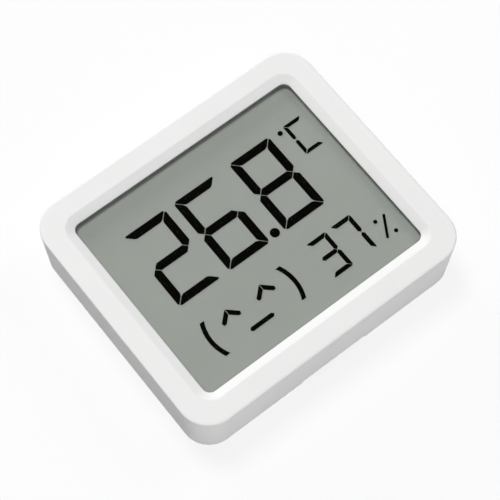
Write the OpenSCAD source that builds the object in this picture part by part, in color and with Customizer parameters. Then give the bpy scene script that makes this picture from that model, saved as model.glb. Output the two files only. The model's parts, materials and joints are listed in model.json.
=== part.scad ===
// Room temperature and humidity sensor with a segment display
// The device lies on its back: +Z points out of the display, +Y to the top of the display.
// The origin is the middle of the back face. All sizes are in millimetres.

/* [Housing] */
// Width of the housing at its front face
body_w = 60; // [56:1:80]
// Height of the housing at its front face
body_h = 51.35; // [48:1:70]
// Thickness from the back face to the front face
body_t = 12.5; // [12:0.25:18]
// Corner radius of the front outline
corner_r = 5.85; // [4.5:0.25:9]
// How far each side wall draws in towards the back
back_inset = 0.55; // [0.2:0.05:0.9]
// Thickness of the side walls at the back edge
wall_t = 1.6; // [1.4:0.1:2.2]
// Rounding of the edge round the front face
edge_r = 0.3; // [0.1:0.05:0.6]

/* [Bezel] */
// Width of the flat rim round the bezel
rim_w = 4; // [3.5:0.1:5]
// Width of the slope between the rim and the window
bevel_w = 1.7; // [1.2:0.1:2.4]
// Depth of the slope below the front face
bevel_drop = 0.8; // [0.4:0.05:0.9]
// Height of the upright edge below the slope
lip_edge = 0.2; // [0.15:0.05:0.5]
// Corner radius of the window
window_r = 1.6; // [0.8:0.1:3]
// Depth of the display surface below the front face
display_drop = 1.4; // [1.3:0.1:2]

/* [Rear edge notch] */
// Width of the finger notch in the bottom wall
notch_w = 14.2; // [8:0.2:16]
// Depth of the finger notch
notch_d = 0.7; // [0.6:0.05:1]

/* [Display stack] */
// Thickness of the film on the front glass
polarizer_t = 0.15; // [0.1:0.05:0.3]
// Thickness of each glass
glass_t = 0.5; // [0.4:0.05:0.7]
// Space between the two glasses
crystal_gap = 0.1; // [0.06:0.02:0.2]
// Thickness of the reflecting film
reflector_t = 0.25; // [0.15:0.05:0.35]
// Depth of the contact ledge on the front glass
contact_ledge = 1.7; // [1.5:0.1:2]
// Setback of the front film from the glass edge
polarizer_margin = 0.8; // [0.5:0.1:1.2]
// Setback of the reflecting film from the glass edge
reflector_margin = 1.35; // [1.1:0.05:1.6]
// Width of the seal between the glasses
seal_w = 0.5; // [0.3:0.05:0.6]
// Width of the elastomer connector strip
zebra_w = 1.3; // [0.9:0.05:1.4]
// Length of the elastomer connector strip
zebra_l = 44; // [30:1:46]

/* [Display frame] */
// Wall of the frame round the glass
frame_wall = 0.9; // [0.7:0.05:1.1]
// Radius of a screw boss
boss_r = 2; // [1.7:0.1:2.4]
// Distance of the screw bosses above and below the middle
boss_y = 17; // [14:0.5:17.5]

/* [Digits] */
// Width of a large digit
digit_w = 9.2; // [7:0.1:9.4]
// Height of a large digit
digit_h = 16.65; // [12:0.1:18]
// Stroke of a large digit
digit_stroke = 1.62; // [1:0.05:1.8]
// Gap between the segments of a large digit
digit_gap = 0.14; // [0.1:0.02:0.3]
// Width of a small digit
small_w = 4.39; // [3:0.1:4.8]
// Height of a small digit
small_h = 8.04; // [6:0.1:9]
// Stroke of a small digit
small_stroke = 0.83; // [0.5:0.05:0.9]
// Gap between the segments of a small digit
small_gap = 0.1; // [0.06:0.02:0.2]

/* [Back cover] */
// Thickness of the back cover
cover_t = 1.2; // [1:0.05:1.4]
// Gap round the sides and bottom of the back cover
cover_gap = 0.25; // [0.15:0.05:0.35]
// Gap at the hinged top edge of the back cover
cover_top_gap = 0.4; // [0.35:0.05:0.6]
// Chamfer round the outer face of the back cover
cover_chamfer = 0.3; // [0.2:0.05:0.4]
// Radius of the round end of a hinge tongue
tongue_r = 0.4; // [0.3:0.05:0.45]
// Width of a hinge tongue
tongue_w = 7.6; // [4:0.2:10]
// Distance of the hinge tongues from the middle
tongue_x = 13; // [9:0.5:16]
// Height of the stiffening rib inside the back cover
skirt_h = 0.8; // [0.4:0.1:1]
// Thickness of the stiffening rib
skirt_t = 0.8; // [0.6:0.1:1.2]
// Thickness of the lip that the finger notch uncovers
pry_lip_t = 0.4; // [0.3:0.05:0.5]
// Distance of the latch arms from the middle
latch_x = 10.5; // [10:0.25:13]
// Width of a latch arm
latch_w = 3.5; // [2:0.25:4]
// Length of an air slot
vent_l = 5; // [3:0.25:7]
// Width of an air slot
vent_w = 1; // [0.6:0.1:1.4]
// Spacing of the air slots
vent_pitch = 2.4; // [2:0.1:3]

/* [Circuit board] */
// Thickness of the circuit board
board_t = 1; // [0.8:0.1:1.2]
// Thickness of the copper and gold areas
copper_t = 0.05; // [0.03:0.01:0.1]
// Side of the radio chip
chip_w = 6; // [5:0.25:7]
// Height of the radio chip
chip_t = 0.85; // [0.6:0.05:1]
// Side of the sensor chip
sensor_w = 2.5; // [2:0.1:3]
// Height of the sensor chip
sensor_t = 0.9; // [0.7:0.05:1.1]

/* [Screws] */
// Thread diameter of a board screw
screw_d = 1.4; // [1.2:0.1:1.6]
// Head diameter of a board screw
screw_head_d = 2.8; // [2.4:0.1:3]
// Head height of a board screw
screw_head_t = 0.8; // [0.6:0.1:1]

/* [Coin cell] */
// Diameter of the coin cell
cell_d = 20; // [18:0.5:21]
// Thickness of the coin cell
cell_t = 3.2; // [2.5:0.1:3.4]
// Thickness of the steel clip
clip_t = 0.25; // [0.2:0.05:0.3]
// Thickness of the negative contact leaf
leaf_t = 0.15; // [0.1:0.05:0.25]

/* [Pairing button] */
// Diameter of the button
button_d = 5.7; // [4:0.1:7]
// Depth of the button face below the back face
button_recess = 0.3; // [0.1:0.05:0.5]
// Travel of the button
button_travel = 0.3; // [0.2:0.05:0.35]
// Side of the push switch
switch_w = 4.5; // [4:0.1:5.2]
// Height of the push switch
switch_t = 1.9; // [1.7:0.05:2]
// Diameter of the switch plunger
plunger_d = 2.4; // [1.8:0.1:2.6]
// How far the plunger stands out of the switch
plunger_out = 0.6; // [0.4:0.05:0.7]

/* [Hidden] */
$fn = 64;

// Overlap of cutting shapes past the faces that they cut
over = 1;
// Play of the frame in the housing and of the glass in the frame
fit_play = 0.15;
// Play of sliding and stacked pieces
slide_play = 0.05;
// Play of the hinge tongues in their pockets, all round
pivot_play = 0.05;
// Side play of the hinge tongues
pivot_side_play = 0.2;
// Play of a screw thread in its pilot hole
pilot_play = 0.025;
// Small chamfer on moulded and turned edges
ease = 0.2;

// Window and cavity outlines
window_w = body_w - 2 * (rim_w + bevel_w);
window_h = body_h - 2 * (rim_w + bevel_w);
bevel_r = window_r + bevel_w;
cavity_w = body_w - 2 * (back_inset + wall_t);
cavity_h = body_h - 2 * (back_inset + wall_t);
cavity_r = corner_r - back_inset - wall_t;

// Heights of the stack, built up from the back face
clip_z = cover_t + 2 * slide_play;
cell_z = clip_z + clip_t + slide_play;
cell_top_z = cell_z + cell_t;
board_z = cell_top_z + slide_play + leaf_t;
board_top_z = board_z + board_t;

// Heights of the stack, built down from the front face
lip_z = body_t - bevel_drop - lip_edge;
display_z = body_t - display_drop;
front_glass_z = display_z - polarizer_t - glass_t;
rear_glass_top_z = front_glass_z - crystal_gap;
rear_glass_z = rear_glass_top_z - glass_t;
reflector_z = rear_glass_z - reflector_t;

// Outlines of the display stack
frame_w = cavity_w - 2 * fit_play;
frame_h = cavity_h - 2 * fit_play;
frame_r = cavity_r - fit_play;
glass_w = frame_w - 2 * (frame_wall + fit_play);
glass_h = frame_h - 2 * (frame_wall + fit_play);
glass_r = 0.5;
rear_glass_h = glass_h - contact_ledge;
rear_glass_y = contact_ledge / 2;
reflector_w = glass_w - 2 * reflector_margin;
reflector_low_margin = 0.3;
reflector_h = rear_glass_h - reflector_margin - reflector_low_margin;
reflector_y = rear_glass_y - (reflector_margin - reflector_low_margin) / 2;
zebra_y = -glass_h / 2 - fit_play / 2 + contact_ledge / 2;
film_play = 0.2;
opening_w = reflector_w + 2 * film_play;
opening_top_y = reflector_y + reflector_h / 2 + film_play;
opening_low_y = reflector_y - reflector_h / 2 - film_play;
boss_root = 0.3;
boss_x = opening_w / 2 - boss_r + boss_root;
boss_top_z = reflector_z - fit_play;
boss_floor = 0.25;

// Lugs on the housing walls that seat the cover and hold the frame
lug_depth = 0.45;
lug_l = 5;
lug_root = 0.3;
side_lug_y = [-12, 12];
top_lug_x = [-22, 0, 22];
bottom_lug_x = [-18.5, 18.5];
lug_play = 0.3;

// Hinge axis of the back cover
pivot_y = cavity_h / 2 + tongue_r + pivot_play;
pivot_rise = 0.1;
pivot_z = cover_t + pivot_rise;
pocket_r = tongue_r + pivot_play;
pocket_swing = 22;
pocket_reach = 1.2;

// Back cover outline
cover_w = cavity_w - 2 * cover_gap;
cover_low_y = -cavity_h / 2 + cover_gap;
cover_top_y = cavity_h / 2 - cover_top_gap;
cover_h = cover_top_y - cover_low_y;
cover_y = (cover_top_y + cover_low_y) / 2;
cover_r = cavity_r - cover_gap;
skirt_inset = lug_depth + lug_play;
skirt_root = 0.2;
tongue_root = 1.5;
pry_depth = 0.8;
latch_t = 0.8;
latch_h = 1.4;
latch_nose = 0.25;
latch_nose_h = 0.6;
latch_gap = 0.6;
latch_y = -cavity_h / 2 + latch_gap;
ledge_rise = 0.2;
ledge_t = 0.45;
vent_count = 5;
vent_edge = 5.85;
vent_y = -cavity_h / 2 + vent_edge;

// Board outline and the places of what it carries
board_w = cavity_w - 2 * (lug_depth + lug_play);
board_h = cavity_h - 2 * (lug_depth + lug_play);
board_r = 2.5;
board_right = board_w / 2;
board_top = board_h / 2;
screw_hole_play = 0.25;
screw_hole_r = screw_d / 2 + screw_hole_play;
screw_l = boss_top_z - boss_floor - slide_play * 2 - board_z;
cell_r = cell_d / 2;
cell_wall = 0.25;
cap_setback = 1.4;
crimp_w = 0.8;
cap_r = cell_r - cap_setback;
crimp_r = cell_r - crimp_w;
cap_t = 0.6;
crimp_t = 0.35;
cell_split_z = cell_top_z - cap_t;
cell_side_edge = 6.6;
cell_top_edge = 3.1;
cell_x = -board_right + cell_side_edge + cell_r;
cell_y = board_top - cell_top_edge - cell_r;
clip_side = 0.15;
clip_half = 4.5;
clip_stop_w = 8;
clip_outer = cell_r + clip_side + clip_t;
foot_l = 1.8;
foot_w = 4;
sensor_side = 4.1;
sensor_edge = 3.2;
sensor_x = cell_x + clip_outer + sensor_side;
sensor_y = -board_top + sensor_edge;
sensor_slot_w = 0.8;
sensor_slot_gap = 1.4;
switch_edge = 12.6;
switch_x = board_right - switch_edge;
switch_y = -7;
chip_x = switch_x;
chip_y = 7;
plunger_z = board_z - switch_t - plunger_out;
plunger_r = plunger_d / 2;
plunger_play = 0.05;
switch_lid = 0.4;
switch_floor = 0.2;
chamber_wall = 0.5;
chamber_r = plunger_r + chamber_wall;
dome_rise = button_travel + slide_play;
dome_t = 0.1;
button_play = 0.15;
button_hole_r = button_d / 2 + button_play;
flange_w = 0.9;
flange_r = button_hole_r + flange_w;
flange_t = 0.5;
stem_r = 1.3;

// Cut outer corners and softened inner corners of the segments, in strokes
corner_cut = 0.34;
corner_soft = 0.16;

// Middle of the sign field, and the places and sizes of the signs measured from it
field_at = [-0.14, -0.27];
two_at = [-17.8, -3.15];
six_at = [-6.69, -3.15];
eight_at = [6.01, -3.15];
point_at = [4.26, -2.26];
point_r = 0.91;
degree_at = [17.37, 12.74];
degree_r = 0.49;
unit_at = [18.52, 6.46];
unit_w = 4.04;
unit_h = 7.03;
unit_stroke = 0.7;
unit_gap = 0.13;
three_at = [7.1, -15.67];
seven_at = [12.63, -15.67];
percent_at = [20.75, -13.43];
percent_dot_r = 0.38;
percent_dot = [0.95, 1.79];
percent_bar = [0.5, 4.72];
percent_tilt = 30.6;
face_at = [-8.06, -11.66];
bracket_x = 9.76;
bracket_r = 8.94;
bracket_stroke = 0.84;
bracket_h = 7.55;
eye_x = 3.85;
eye_apex_y = 3.22;
eye_h = 2.39;
eye_half = 2.02;
eye_stroke = 1.18;
eye_foot = [0.14, 0.55, 0.64];
eye_gap = 0.12;
mouth_w = 5.32;
mouth_h = 0.83;
mouth_y = -2.67;

// Copper shapes on the board
antenna_side_edge = 23.5;
antenna_top_edge = 4.6;
antenna_x = board_right - antenna_side_edge;
antenna_y = board_top - antenna_top_edge;
antenna_turns = 6;
antenna_pitch = 2.4;
antenna_h = 3.2;
antenna_trace_w = 0.6;
pad_r = 0.6;
pad_pitch = 2.2;
pad_count = 5;
pad_side_edge = 20.6;
pad_low_edge = 9.1;
pad_x = board_right - pad_side_edge;
pad_y = -board_top + pad_low_edge;

// Crystals beside the radio chip, as length, width and height
crystal_side = 3.4;
crystal_pitch = 4.3;
crystal_x = chip_x + chip_w / 2 + crystal_side;
crystal_l = 3.2;
crystal_t = 0.7;
crystal_widths = [2.5, 1.5];

// Passives in rows round the chips, as place and turn
passive_l = 1;
passive_w = 0.5;
passive_t = 0.45;
passive_gap = 1.8;
passive_pitch = 2.2;
chip_reach = chip_w / 2 + passive_gap;
sensor_reach = sensor_w / 2 + sensor_slot_gap + sensor_slot_w + passive_gap;
switch_reach = switch_w / 2 + 2 * passive_gap;
passive_at = concat(
    [for (i = [-1.5:1.5]) [chip_x - chip_reach, chip_y + i * passive_pitch, 90]],
    [for (i = [-1:1], side = [-1, 1]) [chip_x + i * passive_pitch, chip_y + side * chip_reach, 0]],
    [for (i = [-0.5:0.5]) [switch_x + switch_reach, switch_y + i * passive_pitch, 90]],
    [for (i = [0:1]) [sensor_x + sensor_reach + i * passive_pitch, sensor_y, 90]]
);

// List in reverse order
function reversed(list) = [for (i = [len(list) - 1:-1:0]) list[i]];

// Quarter circle from the side wall to the front face, as [inset, z] pairs
function edge_arc(r, z, steps) = [
    for (i = [0:steps]) [r * (1 - cos(90 * i / steps)), z - r + r * sin(90 * i / steps)]
];

// Block with a rounded rectangular outline whose inset varies with height
module contour_block(w, h, r, profile) {
    bottom = profile[0][1];
    top = profile[len(profile) - 1][1];
    side_w = [for (p = profile) [w / 2 - p[0], p[1]]];
    side_h = [for (p = profile) [h / 2 - p[0], p[1]]];
    corner = [for (p = profile) [r - p[0], p[1]]];
    rotate([90, 0, 0])
        linear_extrude(h - 2 * r, center = true)
            polygon(concat(side_w, [for (p = reversed(side_w)) [-p[0], p[1]]]));
    rotate([90, 0, 90])
        linear_extrude(w - 2 * r, center = true)
            polygon(concat(side_h, [for (p = reversed(side_h)) [-p[0], p[1]]]));
    for (quarter = [[1, 1, 0], [-1, 1, 90], [-1, -1, 180], [1, -1, 270]])
        translate([quarter[0] * (w / 2 - r), quarter[1] * (h / 2 - r), 0])
            rotate([0, 0, quarter[2]])
                rotate_extrude(angle = 90)
                    polygon(concat([[0, bottom]], corner, [[0, top]]));
}

// Upright plate with rounded corners
module plate(w, h, r, bottom, top) {
    contour_block(w, h, r, [[0, bottom], [0, top]]);
}

// Flat rectangular ring
module ring(w, h, r, inner_w, inner_h, inner_r, bottom, top) {
    difference() {
        plate(w, h, r, bottom, top);
        plate(inner_w, inner_h, inner_r, bottom - over, top + over);
    }
}

// Box given by its middle in the plane and its two heights
module box(x, y, w, h, bottom, top) {
    translate([x - w / 2, y - h / 2, bottom])
        cube([w, h, top - bottom]);
}

// Outline in the YZ plane drawn out along X
module side_profile(x, w, points) {
    translate([x, 0, 0])
        rotate([90, 0, 90])
            linear_extrude(w, center = true)
                polygon(points);
}

// Places of the four screw bosses
module at_bosses() {
    for (sx = [-1, 1], sy = [-1, 1])
        translate([sx * boss_x, sy * boss_y, 0])
            children();
}

// Pocket in the top wall for one hinge tongue, open towards the cavity
module hinge_pocket(x) {
    low = [pocket_r * sin(pocket_swing), -pocket_r * cos(pocket_swing)];
    low_end = low - pocket_reach * [cos(pocket_swing), sin(pocket_swing)];
    pocket_w = tongue_w + 2 * pivot_side_play;
    mouth = [[0, pocket_r], [low_end[0], pocket_r], low_end, low];
    translate([x, pivot_y, pivot_z])
        rotate([0, 90, 0])
            cylinder(h = pocket_w, r = pocket_r, center = true);
    side_profile(x, pocket_w, [for (p = mouth) p + [pivot_y, pivot_z]]);
}

// Lugs that carry the cover on one end and the display frame on the other
module seat_lugs() {
    low = cover_t + slide_play;
    high = board_top_z - slide_play;
    reach = lug_depth + lug_root;
    for (sx = [-1, 1], y = side_lug_y)
        box(sx * (cavity_w / 2 + lug_root - reach / 2), y, reach, lug_l, low, high);
    for (x = top_lug_x)
        box(x, cavity_h / 2 + lug_root - reach / 2, lug_l, reach, low, high);
    for (x = bottom_lug_x)
        box(x, -cavity_h / 2 - lug_root + reach / 2, lug_l, reach, low, high);
}

// Ledges that the latch arms of the cover pass behind
module latch_ledges() {
    wall_y = -cavity_h / 2;
    low = cover_t + ledge_rise;
    ledge = [
        [wall_y - lug_root, low], [wall_y + latch_nose, low], [wall_y + latch_nose, low + ease],
        [wall_y, low + ledge_t], [wall_y - lug_root, low + ledge_t]
    ];
    for (sx = [-1, 1])
        side_profile(sx * latch_x, latch_w, ledge);
}

module front_housing() {
    slope = back_inset / body_t;
    outside = concat(
        [[back_inset, 0]],
        [for (p = edge_arc(edge_r, body_t, 4)) [p[0] + slope * (body_t - p[1]), p[1]]]
    );
    opening = [
        [bevel_w, lip_z - over], [bevel_w, body_t - bevel_drop], [0, body_t], [0, body_t + over]
    ];
    color("white") {
        difference() {
            contour_block(body_w, body_h, corner_r, outside);
            plate(cavity_w, cavity_h, cavity_r, -over, lip_z);
            contour_block(window_w + 2 * bevel_w, window_h + 2 * bevel_w, bevel_r, opening);
            box(0, -body_h / 2, notch_w, body_h - cavity_h + 2 * over, -over, notch_d);
            for (sx = [-1, 1])
                hinge_pocket(sx * tongue_x);
        }
        seat_lugs();
        latch_ledges();
    }
}

// One hinge tongue of the cover
module hinge_tongue(x) {
    root_y = cover_top_y - tongue_root;
    box(x, (root_y + pivot_y) / 2, tongue_w, pivot_y - root_y, pivot_z - tongue_r, pivot_z + tongue_r);
    translate([x, pivot_y, pivot_z])
        rotate([0, 90, 0])
            cylinder(h = tongue_w, r = tongue_r, center = true);
}

// One upright latch arm with its nose
module latch_arm(x) {
    top = cover_t + latch_h;
    nose_z = top - latch_nose_h;
    outline = [
        [latch_y, cover_t - skirt_root], [latch_y + latch_t, cover_t - skirt_root],
        [latch_y + latch_t, top], [latch_y, top], [latch_y - latch_nose, nose_z + ease],
        [latch_y - latch_nose, nose_z], [latch_y, nose_z]
    ];
    side_profile(x, latch_w, outline);
}

// Slot with round ends through the cover
module air_slot(x) {
    straight = vent_l - vent_w;
    box(x, vent_y, vent_w, straight, -over, cover_t + over);
    for (end = [-1, 1])
        translate([x, vent_y + end * straight / 2, -over])
            cylinder(h = cover_t + 2 * over, d = vent_w);
}

module back_cover() {
    skirt_w = cavity_w - 2 * skirt_inset;
    skirt_top_y = cover_top_y - skirt_inset;
    skirt_low_y = latch_y;
    skirt_h_y = skirt_top_y - skirt_low_y;
    skirt_r = cavity_r - skirt_inset;
    color("whitesmoke")
        difference() {
            union() {
                translate([0, cover_y, 0])
                    contour_block(cover_w, cover_h, cover_r,
                        [[cover_chamfer, 0], [0, cover_chamfer], [0, cover_t]]);
                translate([0, (skirt_top_y + skirt_low_y) / 2, 0])
                    ring(skirt_w, skirt_h_y, skirt_r, skirt_w - 2 * skirt_t, skirt_h_y - 2 * skirt_t,
                        skirt_r - skirt_t, cover_t - skirt_root, cover_t + skirt_h);
                for (sx = [-1, 1])
                    hinge_tongue(sx * tongue_x);
                for (sx = [-1, 1])
                    latch_arm(sx * latch_x);
            }
            box(0, cover_low_y, notch_w, 2 * pry_depth, pry_lip_t, cover_t + skirt_h + over);
            for (i = [0:vent_count - 1])
                air_slot((i - (vent_count - 1) / 2) * vent_pitch);
            translate([switch_x, switch_y, -over])
                cylinder(h = cover_t + 2 * over, r = button_hole_r);
        }
}

module pairing_button() {
    flange_z = cover_t + slide_play;
    stem_z = plunger_z - slide_play;
    color("whitesmoke")
        translate([switch_x, switch_y, 0])
            rotate_extrude()
                polygon([
                    [0, button_recess], [button_d / 2 - ease, button_recess],
                    [button_d / 2, button_recess + ease], [button_d / 2, flange_z],
                    [flange_r, flange_z], [flange_r, flange_z + flange_t],
                    [stem_r, flange_z + flange_t], [stem_r, stem_z], [0, stem_z]
                ]);
}

module display_gasket() {
    gasket_margin = 0.1;
    outer_w = glass_w - 2 * (polarizer_margin + gasket_margin);
    outer_h = glass_h - 2 * (polarizer_margin + gasket_margin);
    color("dimgray")
        ring(outer_w, outer_h, window_r, window_w + slide_play, window_h + slide_play,
            window_r + slide_play, display_z, lip_z);
}

module front_polarizer() {
    film_w = glass_w - 2 * polarizer_margin;
    film_h = glass_h - 2 * polarizer_margin;
    color([0.6, 0.63, 0.58, 0.4])
        plate(film_w, film_h, glass_r, display_z - polarizer_t, display_z);
}

module lcd_front_glass() {
    color([0.8, 0.9, 0.88, 0.3])
        plate(glass_w, glass_h, glass_r, front_glass_z, front_glass_z + glass_t);
}

module lcd_rear_glass() {
    color([0.8, 0.9, 0.88, 0.3])
        translate([0, rear_glass_y, 0])
            plate(glass_w, rear_glass_h, glass_r, rear_glass_z, rear_glass_top_z);
}

module lcd_seal() {
    seal_margin = 0.1;
    outer_w = glass_w - 2 * seal_margin;
    outer_h = rear_glass_h - 2 * seal_margin;
    color("darkgray")
        translate([0, rear_glass_y, 0])
            ring(outer_w, outer_h, glass_r, outer_w - 2 * seal_w, outer_h - 2 * seal_w, glass_r,
                rear_glass_top_z, front_glass_z);
}

module rear_reflector() {
    color([0.58, 0.6, 0.57])
        translate([0, reflector_y, 0])
            plate(reflector_w, reflector_h, glass_r, reflector_z, rear_glass_z);
}

// Flat shape as thick as the space between the glasses
module segment_shape(points) {
    translate([0, 0, rear_glass_top_z])
        linear_extrude(crystal_gap)
            polygon(points);
}

// Segments of one digit from its lower left corner, with the lit ones named a to g
module segment_digit(at, w, h, stroke, gap, lit) {
    cut = corner_cut * stroke;
    soft = corner_soft * stroke;
    c = gap / sqrt(2);
    mid = h / 2;
    bar = [
        [cut, h], [w - cut, h], [w - (cut + c) / 2, h - (cut - c) / 2],
        [w - stroke - c + soft, h - stroke + soft], [w - stroke - c - soft, h - stroke],
        [stroke + c + soft, h - stroke], [stroke + c - soft, h - stroke + soft],
        [(cut + c) / 2, h - (cut - c) / 2]
    ];
    post = [
        [0, h - cut], [(cut - c) / 2, h - (cut + c) / 2], [stroke - soft, h - stroke - c + soft],
        [stroke, h - stroke - c - soft], [stroke, mid + stroke / 2 + c], [stroke / 2, mid + c],
        [0, mid + stroke / 2 + c]
    ];
    middle = [
        [stroke / 2 + c, mid], [stroke + c, mid + stroke / 2], [w - stroke - c, mid + stroke / 2],
        [w - stroke / 2 - c, mid], [w - stroke - c, mid - stroke / 2], [stroke + c, mid - stroke / 2]
    ];
    function turned(points, flip_x, flip_y) = [
        for (p = points) [flip_x ? w - p[0] : p[0], flip_y ? h - p[1] : p[1]]
    ];
    shapes = [
        ["a", bar], ["b", turned(post, true, false)], ["c", turned(post, true, true)],
        ["d", turned(bar, false, true)], ["e", turned(post, false, true)], ["f", post], ["g", middle]
    ];
    for (shape = shapes)
        if (len(search(shape[0], lit)) > 0)
            segment_shape([for (p = shape[1]) p + at]);
}

// Round dot of the display
module segment_dot(at, r) {
    translate([at[0], at[1], rear_glass_top_z])
        cylinder(h = crystal_gap, r = r);
}

// One curved bracket of the face sign
module face_bracket(side) {
    translate([face_at[0] + side * (bracket_x - bracket_r), face_at[1], rear_glass_top_z])
        intersection() {
            difference() {
                cylinder(h = crystal_gap, r = bracket_r);
                translate([0, 0, -over])
                    cylinder(h = crystal_gap + 2 * over, r = bracket_r - bracket_stroke);
            }
            translate([side * bracket_r - bracket_r / 2, -bracket_h / 2, -over])
                cube([bracket_r, bracket_h, crystal_gap + 2 * over]);
        }
}

// One eye of the face sign, two strokes that nearly meet
module face_eye(x) {
    stroke = [
        [eye_gap / 2, 0], [eye_half, -eye_h + eye_foot[1]], [eye_half - eye_foot[0], -eye_h],
        [eye_half - eye_foot[2], -eye_h], [eye_gap / 2, -eye_stroke]
    ];
    for (side = [-1, 1])
        segment_shape([for (p = stroke) [face_at[0] + x + side * p[0], face_at[1] + eye_apex_y + p[1]]]);
}

// Mouth of the face sign
module face_mouth() {
    half = mouth_w / 2;
    tip = mouth_h / 2;
    outline = [
        [-half, 0], [-half + tip, tip], [half - tip, tip], [half, 0], [half - tip, -tip], [-half + tip, -tip]
    ];
    segment_shape([for (p = outline) p + face_at + [0, mouth_y]]);
}

// Percent sign
module percent_sign() {
    for (side = [-1, 1])
        segment_dot(percent_at + [-side * percent_dot[0], side * percent_dot[1]], percent_dot_r);
    translate([percent_at[0], percent_at[1], rear_glass_top_z])
        rotate([0, 0, -percent_tilt])
            translate([-percent_bar[0] / 2, -percent_bar[1] / 2, 0])
                cube([percent_bar[0], percent_bar[1], crystal_gap]);
}

module lcd_segments() {
    color("black") translate([field_at[0], field_at[1], 0]) {
        segment_digit(two_at, digit_w, digit_h, digit_stroke, digit_gap, "abged");
        segment_digit(six_at, digit_w, digit_h, digit_stroke, digit_gap, "afgecd");
        segment_digit(eight_at, digit_w, digit_h, digit_stroke, digit_gap, "abcdefg");
        segment_dot(point_at, point_r);
        segment_dot(degree_at, degree_r);
        segment_digit(unit_at, unit_w, unit_h, unit_stroke, unit_gap, "afed");
        segment_digit(three_at, small_w, small_h, small_stroke, small_gap, "abgcd");
        segment_digit(seven_at, small_w, small_h, small_stroke, small_gap, "abc");
        percent_sign();
        for (side = [-1, 1])
            face_bracket(side);
        for (side = [-1, 1])
            face_eye(side * eye_x);
        face_mouth();
    }
}

module lcd_frame() {
    pocket_w = glass_w + 2 * fit_play;
    pocket_h = glass_h + 2 * fit_play;
    slot_low_y = -pocket_h / 2;
    slot_w = zebra_l + 2 * film_play;
    color("gainsboro")
        difference() {
            union() {
                difference() {
                    plate(frame_w, frame_h, frame_r, board_top_z, lip_z - slide_play);
                    plate(pocket_w, pocket_h, glass_r, rear_glass_z, lip_z + over);
                    box(0, (opening_top_y + opening_low_y) / 2, opening_w, opening_top_y - opening_low_y,
                        board_top_z - over, rear_glass_z + over);
                    box(0, (slot_low_y + opening_low_y + over) / 2, slot_w,
                        opening_low_y + over - slot_low_y, board_top_z - over, rear_glass_z + over);
                }
                at_bosses()
                    translate([0, 0, board_top_z])
                        cylinder(h = boss_top_z - board_top_z, r = boss_r);
            }
            at_bosses()
                translate([0, 0, board_top_z - over])
                    cylinder(h = boss_top_z - boss_floor - board_top_z + over, d = screw_d + 2 * pilot_play);
        }
}

module zebra_strip() {
    color("slategray")
        box(0, zebra_y, zebra_l, zebra_w, board_top_z, front_glass_z);
}

// Slots that part the sensor from the warm board
module sensor_slots() {
    reach = sensor_w / 2 + sensor_slot_gap;
    for (side = [-1, 1])
        box(sensor_x + side * reach, sensor_y - reach / 2, sensor_slot_w, 2 * reach,
            board_z - over, board_top_z + over);
    box(sensor_x, sensor_y + reach, reach, sensor_slot_w, board_z - over, board_top_z + over);
}

module circuit_board() {
    color("darkgreen")
        difference() {
            plate(board_w, board_h, board_r, board_z, board_top_z);
            at_bosses()
                translate([0, 0, board_z - over])
                    cylinder(h = board_t + 2 * over, r = screw_hole_r);
            sensor_slots();
        }
}

module board_screws() {
    cross_w = 0.4;
    cross_l = 1.6;
    cross_d = 0.45;
    color("silver")
        at_bosses()
            difference() {
                union() {
                    translate([0, 0, board_z - screw_head_t])
                        cylinder(h = screw_head_t, d1 = screw_head_d - 3 * ease, d2 = screw_head_d);
                    translate([0, 0, board_z])
                        cylinder(h = screw_l, d = screw_d);
                }
                for (turn = [0, 90])
                    translate([0, 0, board_z - screw_head_t + cross_d / 2 - over / 2])
                        rotate([0, 0, turn])
                            cube([cross_l, cross_w, cross_d + over], center = true);
            }
}

// Block soldered to the rear of the board
module board_block(at, size, turn = 0) {
    translate([at[0], at[1], board_z - size[2] / 2])
        rotate([0, 0, turn])
            cube(size, center = true);
}

module radio_chip() {
    mark_r = 0.35;
    mark_in = 0.9;
    mark_d = 0.1;
    color("black")
        difference() {
            board_block([chip_x, chip_y], [chip_w, chip_w, chip_t]);
            translate([chip_x - chip_w / 2 + mark_in, chip_y + chip_w / 2 - mark_in, board_z - chip_t - over])
                cylinder(h = mark_d + over, r = mark_r);
        }
}

module crystals() {
    color("silver")
        for (i = [0:len(crystal_widths) - 1])
            board_block([crystal_x, chip_y + (0.5 - i) * crystal_pitch],
                [crystal_l, crystal_widths[i], crystal_t]);
}

module chip_passives() {
    color("tan")
        for (p = passive_at)
            board_block(p, [passive_l, passive_w, passive_t], p[2]);
}

module antenna_trace() {
    color("goldenrod")
        for (i = [0:antenna_turns - 1]) {
            x = antenna_x + i * antenna_pitch;
            side = i % 2 == 0 ? 1 : -1;
            link_y = antenna_y + side * (antenna_h - antenna_trace_w) / 2;
            box(x, antenna_y, antenna_trace_w, antenna_h, board_z - copper_t, board_z);
            if (i < antenna_turns - 1)
                box(x + antenna_pitch / 2, link_y, antenna_pitch, antenna_trace_w,
                    board_z - copper_t, board_z);
        }
}

module program_pads() {
    color("gold")
        for (i = [0:pad_count - 1])
            translate([pad_x + i * pad_pitch, pad_y, board_z - copper_t])
                cylinder(h = copper_t, r = pad_r);
}

module sensor_chip() {
    port_r = 0.5;
    port_d = 0.35;
    color("dimgray")
        difference() {
            board_block([sensor_x, sensor_y], [sensor_w, sensor_w, sensor_t]);
            translate([sensor_x, sensor_y, board_z - sensor_t - over])
                cylinder(h = port_d + over, r = port_r);
        }
}

module switch_body() {
    lid_z = board_z - switch_t;
    color("dimgray")
        difference() {
            box(switch_x, switch_y, switch_w, switch_w, lid_z, board_z);
            translate([switch_x, switch_y, lid_z - over])
                cylinder(h = switch_lid + 2 * over, r = plunger_r + plunger_play);
            translate([switch_x, switch_y, lid_z + switch_lid])
                cylinder(h = switch_t - switch_lid - switch_floor, r = chamber_r);
        }
}

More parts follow.
